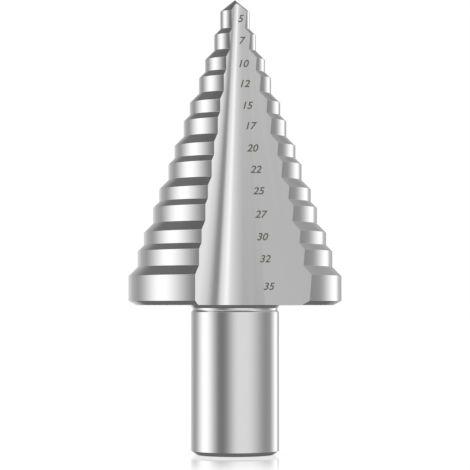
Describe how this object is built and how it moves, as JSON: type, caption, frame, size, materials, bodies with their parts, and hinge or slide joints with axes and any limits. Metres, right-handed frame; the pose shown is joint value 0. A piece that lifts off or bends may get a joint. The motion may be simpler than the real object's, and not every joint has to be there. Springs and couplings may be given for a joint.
{
  "type": "step drill",
  "caption": "Stepped cone drill with a plain round shank, a drill point, 45 degree lead-in chamfers and two opposite straight chip flutes.",
  "frame": {"origin": "centre of the shank's end face", "axes": "+Z along the drill's axis towards the point, -Y out of the flute that carries the sizes"},
  "size_m": [0.0348, 0.0328, 0.0746],
  "materials": {
    "tool_steel": "bright ground, uncoated"
  },
  "bodies": {
    "root": {"step_drill": "tool_steel"}
  },
  "joints": []
}
